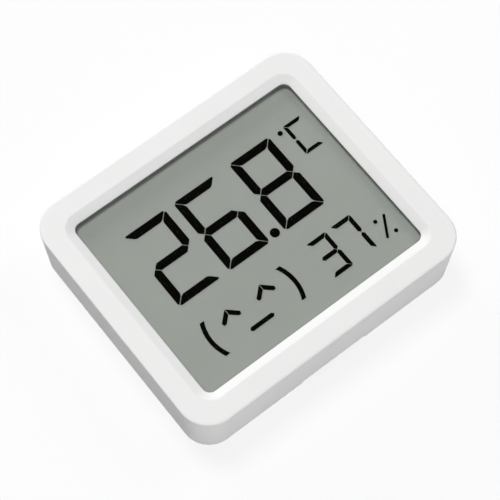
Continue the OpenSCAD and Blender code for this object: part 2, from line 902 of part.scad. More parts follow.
module switch_terminals() {
    lead_w = 0.7;
    lead_l = 1;
    lead_t = 0.15;
    color("silver")
        for (sx = [-1, 1], sy = [-1, 1])
            box(switch_x + sx * (switch_w + lead_l) / 2, switch_y + sy * switch_w / 3, lead_l, lead_w,
                board_z - lead_t, board_z);
}

module switch_dome() {
    half = chamber_r - plunger_play;
    dome_r = (half * half + dome_rise * dome_rise) / (2 * dome_rise);
    rim_z = board_z - switch_floor;
    color("silver")
        translate([switch_x, switch_y, rim_z - dome_rise + dome_r])
            rotate_extrude()
                intersection() {
                    difference() {
                        circle(dome_r);
                        circle(dome_r - dome_t);
                    }
                    translate([0, -dome_r])
                        square([half, dome_rise]);
                }
}

module switch_plunger() {
    lid_z = board_z - switch_t;
    collar_z = lid_z + switch_lid + slide_play;
    collar_t = 0.25;
    foot_z = board_z - switch_floor - dome_rise - slide_play;
    collar_r = (plunger_r + chamber_r) / 2;
    color("white")
        translate([switch_x, switch_y, 0])
            rotate_extrude()
                polygon([
                    [0, plunger_z], [plunger_r - ease, plunger_z], [plunger_r, plunger_z + ease],
                    [plunger_r, collar_z], [collar_r, collar_z], [collar_r, collar_z + collar_t],
                    [plunger_r / 2, collar_z + collar_t], [plunger_r / 2, foot_z], [0, foot_z]
                ]);
}

module battery_clip() {
    inner = cell_r + clip_side;
    slit_w = 0.7;
    slit_end = 1.2;
    slit_l = 2 * (clip_half - slit_end);
    slit_x = 3.2;
    color("silver")
        translate([cell_x, cell_y, 0])
            union() {
                difference() {
                    union() {
                        box(0, 0, 2 * clip_outer, 2 * clip_half, clip_z, clip_z + clip_t);
                        box(0, (clip_half + clip_outer) / 2, clip_stop_w, clip_outer - clip_half + slide_play,
                            clip_z, clip_z + clip_t);
                    }
                    for (sx = [-1, 1])
                        box(sx * slit_x, 0, slit_w, slit_l, clip_z - over, clip_z + clip_t + over);
                }
                for (sx = [-1, 1]) {
                    box(sx * (inner + clip_t / 2), 0, clip_t, 2 * clip_half, clip_z, board_z);
                    box(sx * (inner + foot_l / 2), 0, foot_l, foot_w, board_z - clip_t, board_z);
                }
                box(0, inner + clip_t / 2, clip_stop_w, clip_t, clip_z, board_z);
            }
}

module negative_contact() {
    leaf_w = 10;
    leaf_h = 4;
    leaf_r = 1;
    slit_w = 6;
    slit_h = 0.5;
    color("silver")
        translate([cell_x, cell_y, 0])
            difference() {
                plate(leaf_w, leaf_h, leaf_r, board_z - leaf_t, board_z);
                for (sy = [-1, 1])
                    box(0, sy * leaf_h / 4, slit_w, slit_h, board_z - leaf_t - over, board_z + over);
            }
}

module cell_can() {
    color("lightgray")
        translate([cell_x, cell_y, 0])
            rotate_extrude()
                polygon([
                    [0, cell_z], [cell_r - ease, cell_z], [cell_r, cell_z + ease],
                    [cell_r, cell_split_z + crimp_t - ease], [cell_r - ease, cell_split_z + crimp_t],
                    [crimp_r, cell_split_z + crimp_t], [crimp_r, cell_split_z],
                    [cell_r - cell_wall, cell_split_z], [cell_r - cell_wall, cell_z + cell_wall],
                    [0, cell_z + cell_wall]
                ]);
}

module cell_electrodes() {
    color("gray")
        translate([cell_x, cell_y, 0])
            rotate_extrude()
                polygon([
                    [0, cell_z + cell_wall], [cell_r - cell_wall, cell_z + cell_wall],
                    [cell_r - cell_wall, cell_split_z], [cap_r - cell_wall, cell_split_z],
                    [cap_r - cell_wall, cell_top_z - cell_wall], [0, cell_top_z - cell_wall]
                ]);
}

module cell_grommet() {
    color("black")
        translate([cell_x, cell_y, 0])
            rotate_extrude()
                translate([cap_r, cell_split_z])
                    square([crimp_r - cap_r, crimp_t - slide_play]);
}

module cell_cap() {
    color("silver")
        translate([cell_x, cell_y, 0])
            rotate_extrude()
                polygon([
                    [0, cell_top_z - cell_wall], [cap_r - cell_wall, cell_top_z - cell_wall],
                    [cap_r - cell_wall, cell_split_z], [cap_r, cell_split_z], [cap_r, cell_top_z - ease],
                    [cap_r - ease, cell_top_z], [0, cell_top_z]
                ]);
}

front_housing();
back_cover();
pairing_button();
display_gasket();
front_polarizer();
lcd_front_glass();
lcd_segments();
lcd_seal();
lcd_rear_glass();
rear_reflector();
lcd_frame();
zebra_strip();
circuit_board();
board_screws();
radio_chip();
crystals();
chip_passives();
antenna_trace();
program_pads();
sensor_chip();
switch_body();
switch_terminals();
switch_dome();
switch_plunger();
battery_clip();
negative_contact();
cell_can();
cell_electrodes();
cell_cap();
cell_grommet();
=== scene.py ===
"""Looks of a room temperature and humidity sensor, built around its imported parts."""

import json
import math

import bmesh
import bpy
from mathutils import Matrix, Vector


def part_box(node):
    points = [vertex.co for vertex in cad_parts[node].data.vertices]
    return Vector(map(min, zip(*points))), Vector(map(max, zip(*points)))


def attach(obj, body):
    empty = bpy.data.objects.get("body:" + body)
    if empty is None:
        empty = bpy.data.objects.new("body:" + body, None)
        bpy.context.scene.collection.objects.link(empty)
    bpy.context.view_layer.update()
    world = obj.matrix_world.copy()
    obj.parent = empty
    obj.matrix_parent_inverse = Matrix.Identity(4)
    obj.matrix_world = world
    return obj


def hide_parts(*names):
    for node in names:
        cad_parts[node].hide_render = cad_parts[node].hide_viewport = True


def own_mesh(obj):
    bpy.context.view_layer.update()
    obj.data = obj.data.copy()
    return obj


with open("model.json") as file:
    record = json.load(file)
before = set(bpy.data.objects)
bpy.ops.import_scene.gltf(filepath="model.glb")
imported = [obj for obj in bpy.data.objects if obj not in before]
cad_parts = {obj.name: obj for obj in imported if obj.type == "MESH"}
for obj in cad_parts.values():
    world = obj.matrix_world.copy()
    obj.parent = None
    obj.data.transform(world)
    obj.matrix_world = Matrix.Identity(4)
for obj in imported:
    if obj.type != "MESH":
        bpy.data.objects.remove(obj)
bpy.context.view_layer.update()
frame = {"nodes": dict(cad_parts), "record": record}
nodes = frame["nodes"]
scene = bpy.context.scene

MM = 0.001

# Housing sizes in millimetres, as in the part's source
BODY_W = 60
BODY_H = 51.35
BODY_T = 12.5
CORNER_R = 5.85
BACK_INSET = 0.55
WALL_T = 1.6
EDGE_R = 0.3
RIM_W = 4
BEVEL_W = 1.7
BEVEL_DROP = 0.8
LIP_EDGE = 0.2
WINDOW_R = 1.6
NOTCH_W = 14.2
NOTCH_D = 0.7
CAVITY_W = BODY_W - 2 * (BACK_INSET + WALL_T)
CAVITY_H = BODY_H - 2 * (BACK_INSET + WALL_T)
CAVITY_R = CORNER_R - BACK_INSET - WALL_T
WINDOW_W = BODY_W - 2 * (RIM_W + BEVEL_W)
WINDOW_H = BODY_H - 2 * (RIM_W + BEVEL_W)
LIP_Z = BODY_T - BEVEL_DROP - LIP_EDGE
NOTCH_ENDS = (-NOTCH_W / 2, NOTCH_W / 2)


def node_middle(node):
    """Middle of a CAD node in millimetres."""
    low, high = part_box(node)
    return (low + high) / (2 * MM)


# Places inside the housing in millimetres
BOARD_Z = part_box("circuit_board")[0].z / MM
BOSS_X = 23.8
BOSS_Y = 17.0
CHIP_AT = node_middle("radio_chip")
CHIP_W = 6.0
SENSOR_AT = node_middle("sensor_chip")
SENSOR_W = 2.5
SWITCH_AT = node_middle("switch_body")
SWITCH_W = 4.5
CELL_AT = node_middle("cell_can")
CELL_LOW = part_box("cell_can")[0].z / MM
SCREW_L = 4.1
HINGE = {joint["name"]: joint for joint in frame["record"]["behaviour"]["joints"]}["cover_swing"]

CORNER_STEPS = 14
ROUND_STEPS = 5


# Helpers for materials

def new_material(name):
    """Material with its node tree and Principled shader."""
    material = bpy.data.materials.new(name)
    material.use_nodes = True
    tree = material.node_tree
    return material, tree, tree.nodes["Principled BSDF"]


def add_node(tree, kind, values=None, **settings):
    """Node with its settings and the values of its unlinked inputs."""
    node = tree.nodes.new(kind)
    for key, value in settings.items():
        setattr(node, key, value)
    for key, value in (values or {}).items():
        node.inputs[key].default_value = value
    return node


def link_all(tree, pairs):
    """Link each source socket to its target."""
    for source, target in pairs:
        tree.links.new(source, target)


def object_noise(tree, scale, detail=2.0, stretch=(1, 1, 1)):
    """Noise on Object coordinates, with its scale in features per metre."""
    coords = add_node(tree, "ShaderNodeTexCoord")
    mapping = add_node(tree, "ShaderNodeMapping", {"Scale": stretch})
    noise = add_node(tree, "ShaderNodeTexNoise", {"Scale": scale, "Detail": detail})
    tree.links.new(coords.outputs["Object"], mapping.inputs["Vector"])
    tree.links.new(mapping.outputs["Vector"], noise.inputs["Vector"])
    return noise.outputs["Fac"]


def mapped(tree, source, low, high, start=0.3, end=0.7):
    """Value spread from low to high while the source goes from start to end."""
    ranged = add_node(tree, "ShaderNodeMapRange",
                      {"From Min": start, "From Max": end, "To Min": low, "To Max": high})
    tree.links.new(source, ranged.inputs["Value"])
    return ranged.outputs["Result"]


def mixed_colours(tree, source, first, second):
    """Colour that goes from the first to the second with the source."""
    mix = add_node(tree, "ShaderNodeMix", data_type="RGBA")
    mix.inputs["A"].default_value = (*first, 1)
    mix.inputs["B"].default_value = (*second, 1)
    tree.links.new(source, mix.inputs["Factor"])
    return mix.outputs["Result"]


def add_bump(tree, shader, source, strength, depth):
    """Bump of the given depth in metres on the shader's normal."""
    bump = add_node(tree, "ShaderNodeBump", {"Strength": strength, "Distance": depth})
    tree.links.new(source, bump.inputs["Height"])
    tree.links.new(bump.outputs["Normal"], shader.inputs["Normal"])


def shade(colour, factor):
    """Colour made lighter or darker."""
    return tuple(min(1.0, part * factor) for part in colour)


def moulded_finish(name, colour, roughness, grain=4200, depth=0.000012, mottle=0.02, specular=0.3):
    """Moulded plastic with a fine spark-eroded grain and faint flow marks."""
    material, tree, shader = new_material(name)
    flow = object_noise(tree, 120, 3.0)
    grains = object_noise(tree, grain, 2.0)
    spread = mapped(tree, flow, 0.0, 1.0)
    tree.links.new(mixed_colours(tree, spread, shade(colour, 1 - mottle), shade(colour, 1 + mottle / 4)),
                   shader.inputs["Base Color"])
    tree.links.new(mapped(tree, grains, roughness - 0.05, roughness + 0.05), shader.inputs["Roughness"])
    add_bump(tree, shader, grains, 0.35, depth)
    shader.inputs["Specular IOR Level"].default_value = specular
    return material


def metal_finish(name, colour, roughness, stretch=(1, 1, 1), scale=2500, depth=0.000004, mottle=0.12):
    """Metal with a drawn or tumbled grain along the stretched direction."""
    material, tree, shader = new_material(name)
    grains = object_noise(tree, scale, 3.0, stretch)
    stains = object_noise(tree, 260, 4.0)
    tree.links.new(mixed_colours(tree, mapped(tree, stains, 0.0, 1.0), shade(colour, 1 - mottle), colour),
                   shader.inputs["Base Color"])
    tree.links.new(mapped(tree, grains, roughness - 0.08, roughness + 0.1), shader.inputs["Roughness"])
    add_bump(tree, shader, grains, 0.4, depth)
    shader.inputs["Metallic"].default_value = 1.0
    return material


def clear_finish(name, colour, alpha, roughness):
    """See-through layer with a fine anti-glare grain."""
    material, tree, shader = new_material(name)
    grains = object_noise(tree, 9000, 1.0)
    haze = object_noise(tree, 90, 2.0)
    tree.links.new(mixed_colours(tree, mapped(tree, haze, 0.0, 1.0), shade(colour, 0.97), colour),
                   shader.inputs["Base Color"])
    tree.links.new(mapped(tree, grains, roughness - 0.04, roughness + 0.04), shader.inputs["Roughness"])
    add_bump(tree, shader, grains, 0.2, 0.000002)
    shader.inputs["Alpha"].default_value = alpha
    shader.inputs["Specular IOR Level"].default_value = 0.1
    return material


def foam_finish(name, colour, cell_scale):
    """Closed-cell foam with small round pores."""
    material, tree, shader = new_material(name)
    coords = add_node(tree, "ShaderNodeTexCoord")
    cells = add_node(tree, "ShaderNodeTexVoronoi", {"Scale": cell_scale})
    tree.links.new(coords.outputs["Object"], cells.inputs["Vector"])
    pores = cells.outputs["Distance"]
    tree.links.new(mixed_colours(tree, mapped(tree, pores, 0.0, 1.0, 0.1, 0.6), shade(colour, 0.75), colour),
                   shader.inputs["Base Color"])
    add_bump(tree, shader, pores, 0.6, 0.00003)
    shader.inputs["Roughness"].default_value = 0.85
    shader.inputs["Specular IOR Level"].default_value = 0.2
    return material


def board_finish(name, mask, copper):
    """Solder mask over copper traces that run both ways."""
    material, tree, shader = new_material(name)
    coords = add_node(tree, "ShaderNodeTexCoord")
    traces = add_node(tree, "ShaderNodeTexBrick",
                      {"Scale": 420.0, "Mortar Size": 0.035, "Brick Width": 1.7, "Row Height": 0.55},
                      offset=0.37, squash=0.7)
    tree.links.new(coords.outputs["Object"], traces.inputs["Vector"])
    lines = traces.outputs["Fac"]
    cloud = object_noise(tree, 300, 3.0)
    gate = mapped(tree, cloud, 0.0, 1.0, 0.45, 0.55)
    both = add_node(tree, "ShaderNodeMath", operation="MULTIPLY")
    tree.links.new(lines, both.inputs[0])
    tree.links.new(gate, both.inputs[1])
    tree.links.new(mixed_colours(tree, both.outputs["Value"], mask, copper), shader.inputs["Base Color"])
    tree.links.new(mapped(tree, cloud, 0.28, 0.4), shader.inputs["Roughness"])
    add_bump(tree, shader, both.outputs["Value"], 0.5, 0.00002)
    return material


def layered_finish(name, dark, pale, layers):
    """Elastomer connector with dark and pale layers across its length."""
    material, tree, shader = new_material(name)
    coords = add_node(tree, "ShaderNodeTexCoord")
    bands = add_node(tree, "ShaderNodeTexWave", {"Scale": layers, "Distortion": 0.4},
                     wave_type="BANDS", bands_direction="X")
    tree.links.new(coords.outputs["Object"], bands.inputs["Vector"])
    tree.links.new(mixed_colours(tree, bands.outputs["Fac"], dark, pale), shader.inputs["Base Color"])
    tree.links.new(mapped(tree, bands.outputs["Fac"], 0.75, 0.55), shader.inputs["Roughness"])
    add_bump(tree, shader, bands.outputs["Fac"], 0.3, 0.00002)
    return material


# Finishes by the record's material slots

WHITE = (0.86, 0.86, 0.855)
finishes = {
    "housing_white": moulded_finish("housing_white", WHITE, 0.5),
    "cover_white": moulded_finish("cover_white", (0.82, 0.82, 0.815), 0.55),
    "button_white": moulded_finish("button_white", (0.74, 0.745, 0.75), 0.4, grain=6000),
    # Foam seal round the window: partly its own grey and partly painted shade. Its tone is set so the seal's
    # wall reads as the dark shaded line under the upper and right bezel.
    "gasket_foam": foam_finish("gasket_foam", (0.36, 0.36, 0.352), 5200),
    "polarizer_film": clear_finish("polarizer_film", (0.02, 0.022, 0.02), 0.03, 0.5),
    "display_glass": clear_finish("display_glass", (0.02, 0.03, 0.027), 0.015, 0.1),
    "segment_black": moulded_finish("segment_black", (0.0009, 0.0005, 0.0003), 0.6, mottle=0.3, specular=0.0),
    "seal_grey": moulded_finish("seal_grey", (0.45, 0.45, 0.43), 0.5),
    "reflector_grey": moulded_finish("reflector_grey", (0.407, 0.436, 0.398), 0.6, grain=7000, depth=0.000004,
                                     specular=0.0),
    "frame_grey": moulded_finish("frame_grey", (0.7, 0.7, 0.68), 0.55),
    "zebra_rubber": layered_finish("zebra_rubber", (0.03, 0.03, 0.035), (0.42, 0.43, 0.46), 420),
    "board_green": board_finish("board_green", (0.015, 0.09, 0.045), (0.03, 0.16, 0.07)),
    "chip_black": moulded_finish("chip_black", (0.022, 0.022, 0.024), 0.55, grain=9000, mottle=0.2),
    "sensor_grey": moulded_finish("sensor_grey", (0.06, 0.06, 0.062), 0.5, grain=9000, mottle=0.2),
    "contact_steel": metal_finish("contact_steel", (0.66, 0.64, 0.6), 0.3, (0.04, 1, 1)),
    "screw_steel": metal_finish("screw_steel", (0.52, 0.52, 0.53), 0.32),
    "crystal_metal": metal_finish("crystal_metal", (0.68, 0.68, 0.69), 0.26, (0.1, 1, 1), scale=4000),
    "passive_ceramic": moulded_finish("passive_ceramic", (0.45, 0.34, 0.22), 0.45, grain=12000, mottle=0.15),
    "copper_gold": metal_finish("copper_gold", (0.83, 0.6, 0.24), 0.3, scale=6000),
    "switch_black": moulded_finish("switch_black", (0.04, 0.04, 0.042), 0.5, mottle=0.2),
    "plunger_white": moulded_finish("plunger_white", (0.72, 0.71, 0.68), 0.4, mottle=0.05),
    "cell_steel": metal_finish("cell_steel", (0.66, 0.66, 0.65), 0.28, (1, 1, 0.05), scale=1800),
    "cell_pack": moulded_finish("cell_pack", (0.08, 0.08, 0.082), 0.8, mottle=0.3),
    "cell_seal": moulded_finish("cell_seal", (0.05, 0.05, 0.052), 0.6, mottle=0.2),
}


# Helpers for meshes, all in millimetres until a piece is finished

def rounded_loop(width, height, radius, z, stops=()):
    """Rounded rectangle, anticlockwise from its lower left corner, with extra points on the lower side."""
    points = []
    for number, (side_x, side_y) in enumerate(((-1, -1), (1, -1), (1, 1), (-1, 1))):
        middle_x = side_x * (width / 2 - radius)
        middle_y = side_y * (height / 2 - radius)
        for step in range(CORNER_STEPS + 1):
            angle = math.pi * (1 + number / 2 + step / CORNER_STEPS / 2)
            points.append((middle_x + radius * math.cos(angle), middle_y + radius * math.sin(angle), z))
        if number == 0:
            points.extend((x, -height / 2, z) for x in stops)
    return points


def lathe(bm, profile, centre, steps=96):
    """Turned shape from (radius, z) pairs that start and end on the axis."""
    rings = []
    for radius, z in profile:
        if radius == 0:
            rings.append([bm.verts.new((centre[0], centre[1], z))])
            continue
        ring = []
        for step in range(steps):
            angle = 2 * math.pi * step / steps
            ring.append(bm.verts.new((centre[0] + radius * math.cos(angle),
                                      centre[1] + radius * math.sin(angle), z)))
        rings.append(ring)
    for low, high in zip(rings, rings[1:]):
        for step in range(steps):
            after = (step + 1) % steps
            corners = (low[step % len(low)], low[after % len(low)],
                       high[after % len(high)], high[step % len(high)])
            bm.faces.new(list(dict.fromkeys(corners)))


def slab(bm, middle, size, soften):
    """Block with rounded edges."""
    matrix = Matrix.Translation(middle) @ Matrix.Diagonal((*size, 1))
    made = bmesh.ops.create_cube(bm, size=1, matrix=matrix)
    edges = list({edge for vert in made["verts"] for edge in vert.link_edges})
    bmesh.ops.bevel(bm, geom=edges, offset=soften, segments=2, profile=0.5, affect="EDGES")


def finished_mesh(name, bm):
    """Mesh in metres with its faces outward and its sharp edges marked."""
    bmesh.ops.recalc_face_normals(bm, faces=bm.faces)
    bmesh.ops.scale(bm, vec=(MM, MM, MM), verts=bm.verts)
    mesh = bpy.data.meshes.new(name)
    bm.to_mesh(mesh)
    bm.free()
    mark_smooth(mesh)
    return mesh


def mark_smooth(mesh, angle=32):
    """Smooth shading that breaks at edges sharper than the angle."""
    mesh.polygons.foreach_set("use_smooth", [True] * len(mesh.polygons))
    mesh.set_sharp_from_angle(angle=math.radians(angle))


def placed(name, mesh):
    """Object for a mesh, at the origin."""
    piece = bpy.data.objects.new(name, mesh)
    scene.collection.objects.link(piece)
    return piece


def settle(piece):
    """Turn the evaluated modifiers of a piece into its plain mesh."""
    bpy.context.view_layer.update()
    graph = bpy.context.evaluated_depsgraph_get()
    mesh = bpy.data.meshes.new_from_object(piece.evaluated_get(graph), depsgraph=graph)
    piece.modifiers.clear()
    piece.data = mesh
    return piece


def cut(piece, tool, operation):
    """Exact Boolean of a piece with a tool that is then removed."""
    modifier = piece.modifiers.new("cut", "BOOLEAN")
    modifier.object = tool
    modifier.operation = operation
    modifier.solver = "EXACT"
    settle(piece)
    bpy.data.objects.remove(tool)


def dress(piece, body, slot, *replaced):
    """Give a piece the finish of its slot and its body, and let it stand for CAD nodes."""
    piece.data.materials.clear()
    piece.data.materials.append(finishes[slot])
    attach(piece, body)
    if replaced:
        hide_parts(*replaced)
    return piece


def softened(name, node, width):
    """Copy of a CAD node with its edges slightly rounded."""
    bm = bmesh.new()
    bm.from_mesh(nodes[node].data)
    bmesh.ops.remove_doubles(bm, verts=bm.verts, dist=0.000002)
    bmesh.ops.dissolve_limit(bm, angle_limit=math.radians(0.5), verts=bm.verts, edges=bm.edges)
    mesh = bpy.data.meshes.new(name)
    bm.to_mesh(mesh)
    bm.free()
    mark_smooth(mesh)
    piece = placed(name, mesh)
    rounding = piece.modifiers.new("soft_edges", "BEVEL")
    rounding.width = width * MM
    rounding.segments = 2
    rounding.limit_method = "ANGLE"
    rounding.angle_limit = math.radians(40)
    flats = piece.modifiers.new("flat_faces", "WEIGHTED_NORMAL")
    flats.weight = 100
    flats.keep_sharp = False
    return settle(piece)


# Housing

def wall_loop(z, inset=0.0):
    """Loop on the drafted outer wall, drawn in by the inset."""
    gap = inset + BACK_INSET * (1 - z / BODY_T)
    return rounded_loop(BODY_W - 2 * gap, BODY_H - 2 * gap, CORNER_R - gap, z, NOTCH_ENDS)


def cavity_loop(z, grow=0.0):
    """Loop on the inner wall, grown outward."""
    return rounded_loop(CAVITY_W + 2 * grow, CAVITY_H + 2 * grow, CAVITY_R + grow, z, NOTCH_ENDS)


def window_loop(z, grow=0.0):
    """Loop round the window, grown outward."""
    return rounded_loop(WINDOW_W + 2 * grow, WINDOW_H + 2 * grow, WINDOW_R + grow, z, NOTCH_ENDS)


def housing_mesh():
    """Shell from loops that run round its closed section, with the finger notch left open."""
    back_round = 0.12
    lip_round = 0.05
    face_round = 0.08
    notch_round = 0.1
    sharp_turn = 0.6
    slope = BEVEL_DROP / BEVEL_W
    bevel_low = BODY_T - BEVEL_DROP
    loops = [wall_loop(NOTCH_D)]
    for step in range(4):
        turn = math.pi / 2 * step / 3
        loops.append(wall_loop(back_round * (1 - math.sin(turn)), back_round * (1 - math.cos(turn))))
    loops.append(cavity_loop(0.0, back_round))
    loops.append(cavity_loop(back_round))
    loops.append(cavity_loop(NOTCH_D))
    notch_end = len(loops) - 1
    loops.append(cavity_loop(LIP_Z))
    loops.append(window_loop(LIP_Z))
    loops.append(window_loop(bevel_low - lip_round))
    loops.append(window_loop(bevel_low - lip_round * 0.2, lip_round * 0.2))
    loops.append(window_loop(bevel_low + lip_round * slope, lip_round))
    loops.append(window_loop(bevel_low + 3 * lip_round * slope, 3 * lip_round))
    for back in (3 * face_round, face_round):
        loops.append(window_loop(BODY_T - back * slope, BEVEL_W - back))
    loops.append(window_loop(BODY_T - face_round * slope / 4, BEVEL_W))
    loops.append(window_loop(BODY_T, BEVEL_W + face_round))
    loops.append(window_loop(BODY_T, BEVEL_W + 2 * face_round))
    loops.append(wall_loop(BODY_T, 2 * EDGE_R))
    for step in range(ROUND_STEPS, -1, -1):
        turn = math.pi / 2 * step / ROUND_STEPS
        loops.append(wall_loop(BODY_T - EDGE_R * (1 - math.sin(turn)), EDGE_R * (1 - math.cos(turn))))
    loops.append(wall_loop(BODY_T - 3 * EDGE_R))
    loops.append(wall_loop(3 * NOTCH_D))

    bm = bmesh.new()
    rings = [[bm.verts.new(point) for point in loop] for loop in loops]
    count = len(rings[0])
    left = CORNER_STEPS + 1
    right = left + 1
    for number, ring in enumerate(rings):
        after = rings[(number + 1) % len(rings)]
        for step in range(count):
            if number < notch_end and step == left:
                continue
            ahead = (step + 1) % count
            bm.faces.new((ring[step], ring[ahead], after[ahead], after[step]))
    cheeks = [bm.faces.new([rings[i][side] for i in range(notch_end + 1)]) for side in (left, right)]
    roof = bm.faces.new((rings[0][left], rings[0][right], rings[notch_end][right], rings[notch_end][left]))
    bmesh.ops.recalc_face_normals(bm, faces=bm.faces)
    outline = [edge for cheek in cheeks for edge in cheek.edges]
    outline += [edge for edge in roof.edges if edge.verts[0].co.y < -BODY_H / 2 + 1]
    outline = [edge for edge in dict.fromkeys(outline) if edge.calc_face_angle(0) > sharp_turn]
    bmesh.ops.bevel(bm, geom=outline, offset=notch_round, segments=3, profile=0.5, affect="EDGES")
    return finished_mesh("housing_shell", bm)


def extrude_across(bm, outline, x, width):
    """Outline of (y, z) points drawn out along X."""
    ends = [[bm.verts.new((x + side * width / 2, y, z)) for y, z in outline] for side in (-1, 1)]
    bm.faces.new(ends[0])
    bm.faces.new(ends[1][::-1])
    for step in range(len(outline)):
        after = (step + 1) % len(outline)
        bm.faces.new((ends[0][step], ends[0][after], ends[1][after], ends[1][step]))


def hinge_pockets():
    """Tool for the two pockets that take the tongues of the cover."""
    pivot_y, pivot_z = (place / MM for place in HINGE["pos_m"][1:])
    tongue_x = 13.0
    pocket_w = 8.0
    radius = 0.45
    opening = math.radians(22)
    reach = 1.2
    steps = 12
    low = (radius * math.sin(opening), -radius * math.cos(opening))
    outline = [(-reach, radius)]
    outline.append((low[0] - reach * math.cos(opening), low[1] - reach * math.sin(opening)))
    start = -math.pi / 2 + opening
    for step in range(steps + 1):
        angle = start + (math.pi / 2 - start) * step / steps
        outline.append((radius * math.cos(angle), radius * math.sin(angle)))
    bm = bmesh.new()
    for side in (-1, 1):
        extrude_across(bm, [(pivot_y + y, pivot_z + z) for y, z in outline], side * tongue_x, pocket_w)
    return placed("pocket_tool", finished_mesh("pocket_tool", bm))


def wall_lugs():
    """Tool for the lugs and latch ledges on the inner walls."""
    low, high, length = 1.25, 5.95, 5.0
    root, reach, soften = 0.3, 0.45, 0.1
    side_y, top_x, bottom_x = 12, 22, 18.5
    latch_x, latch_w = 10.5, 3.5
    ledge_reach, ledge_low, ledge_tip, ledge_top = 0.25, 1.4, 1.6, 1.85
    depth = root + reach
    out_x = CAVITY_W / 2 + root - depth / 2
    out_y = CAVITY_H / 2 + root - depth / 2
    middle_z = (low + high) / 2
    bm = bmesh.new()
    for side in (-1, 1):
        for y in (-side_y, side_y):
            slab(bm, (side * out_x, y, middle_z), (depth, length, high - low), soften)
    for x, y in ((-top_x, out_y), (0, out_y), (top_x, out_y), (-bottom_x, -out_y), (bottom_x, -out_y)):
        slab(bm, (x, y, middle_z), (length, depth, high - low), soften)
    wall = -CAVITY_H / 2
    ledge = ((wall - root, ledge_low), (wall + ledge_reach, ledge_low), (wall + ledge_reach, ledge_tip),
             (wall, ledge_top), (wall - root, ledge_top))
    for side in (-1, 1):
        extrude_across(bm, ledge, side * latch_x, latch_w)
    return placed("lug_tool", finished_mesh("lug_tool", bm))


shell = placed("housing_shell", housing_mesh())
cut(shell, hinge_pockets(), "DIFFERENCE")
cut(shell, wall_lugs(), "UNION")
mark_smooth(shell.data)
dress(shell, "housing", "housing_white", "front_housing")


# Back cover and button

dress(softened("cover_panel", "back_cover", 0.1), "cover", "cover_white", "back_cover")


def button_mesh():
    """Button with a dished face, a flange and a stem."""
    cap_r, flange_r, stem_r = 2.85, 3.9, 1.3
    face, flange_low, flange_high, stem_end = 0.3, 1.25, 1.75, 2.45
    profile = [(0, face + 0.12), (1.2, face + 0.1), (2.0, face + 0.04), (cap_r - 0.4, face),
               (cap_r - 0.23, face + 0.02), (cap_r - 0.09, face + 0.1), (cap_r - 0.02, face + 0.22),
               (cap_r, face + 0.4), (cap_r, flange_low), (flange_r - 0.1, flange_low),
               (flange_r - 0.02, flange_low + 0.05), (flange_r, flange_low + 0.15),
               (flange_r, flange_high - 0.15), (flange_r - 0.02, flange_high - 0.05),
               (flange_r - 0.1, flange_high), (stem_r + 0.15, flange_high),
               (stem_r + 0.04, flange_high + 0.04), (stem_r, flange_high + 0.15), (stem_r, stem_end - 0.15),
               (stem_r - 0.04, stem_end - 0.05), (stem_r - 0.15, stem_end), (0, stem_end)]
    bm = bmesh.new()
    lathe(bm, profile, SWITCH_AT)
    return finished_mesh("button_cap", bm)


dress(placed("button_cap", button_mesh()), "button", "button_white", "pairing_button")


# Display

def crystal_mesh():
    """Thin layer between the glasses, seen as the pale field behind the signs."""
    low, high = (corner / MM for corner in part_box("lcd_seal"))
    seal_band = 0.55
    layer_t = 0.02
    corner_r = 0.4
    width = high.x - low.x - 2 * seal_band
    height = high.y - low.y - 2 * seal_band
    bm = bmesh.new()
    loops = [rounded_loop(width, height, corner_r, z) for z in (low.z, low.z + layer_t)]
    rings = [[bm.verts.new(point) for point in loop] for loop in loops]
    bm.faces.new(rings[0][::-1])
    bm.faces.new(rings[1])
    for step in range(len(rings[0])):
        after = (step + 1) % len(rings[0])
        bm.faces.new((rings[0][step], rings[0][after], rings[1][after], rings[1][step]))
    bmesh.ops.translate(bm, vec=(0, (low.y + high.y) / 2, 0), verts=bm.verts)
    return finished_mesh("crystal_layer", bm)


dress(placed("crystal_layer", crystal_mesh()), "housing", "reflector_grey")


# Coin cell

def cell_case_mesh():
    """Drawn can with a rolled edge and a thin bottom."""
    can_r, foot_r, crimp_r = 10.0, 7.75, 9.2
    low, crimp_low, top = CELL_LOW, 4.2, 4.55
    sheet, dent = 0.25, 0.06
    profile = [(0, low + dent), (foot_r - 0.15, low + dent), (foot_r, low), (can_r - 0.4, low),
               (can_r - 0.2, low + 0.05), (can_r - 0.05, low + 0.2), (can_r, low + 0.4), (can_r, top - 0.3),
               (can_r - 0.05, top - 0.12), (can_r - 0.18, top - 0.02), (can_r - 0.35, top),
               (crimp_r + 0.1, top), (crimp_r, top - 0.05), (crimp_r, crimp_low), (can_r - sheet, crimp_low),
               (can_r - sheet, low + sheet), (0, low + sheet)]
    bm = bmesh.new()
    lathe(bm, profile, CELL_AT, 128)
    return finished_mesh("cell_case", bm)


def cell_lid_mesh():
    """Negative cap with a rounded shoulder."""
    lid_r, sheet, low, top = 8.6, 0.25, 4.2, 4.8
    profile = [(0, top - sheet), (lid_r - sheet, top - sheet), (lid_r - sheet, low), (lid_r, low),
               (lid_r, top - sheet), (lid_r - 0.05, top - 0.1), (lid_r - 0.18, top - 0.02),
               (lid_r - 0.4, top), (0, top)]
    bm = bmesh.new()
    lathe(bm, profile, CELL_AT, 128)
    return finished_mesh("cell_lid", bm)


dress(placed("cell_case", cell_case_mesh()), "coin_cell", "cell_steel", "cell_can")
dress(placed("cell_lid", cell_lid_mesh()), "coin_cell", "cell_steel", "cell_cap")


# Metal parts and chips with softened edges

for name, node, width, slot in (
        ("clip_spring", "battery_clip", 0.06, "contact_steel"),
        ("chip_case", "radio_chip", 0.06, "chip_black"),
        ("sensor_case", "sensor_chip", 0.05, "sensor_grey"),
        ("crystal_cans", "crystals", 0.08, "crystal_metal"),
        ("switch_case", "switch_body", 0.08, "switch_black")):
    dress(softened(name, node, width), "housing", slot, node)
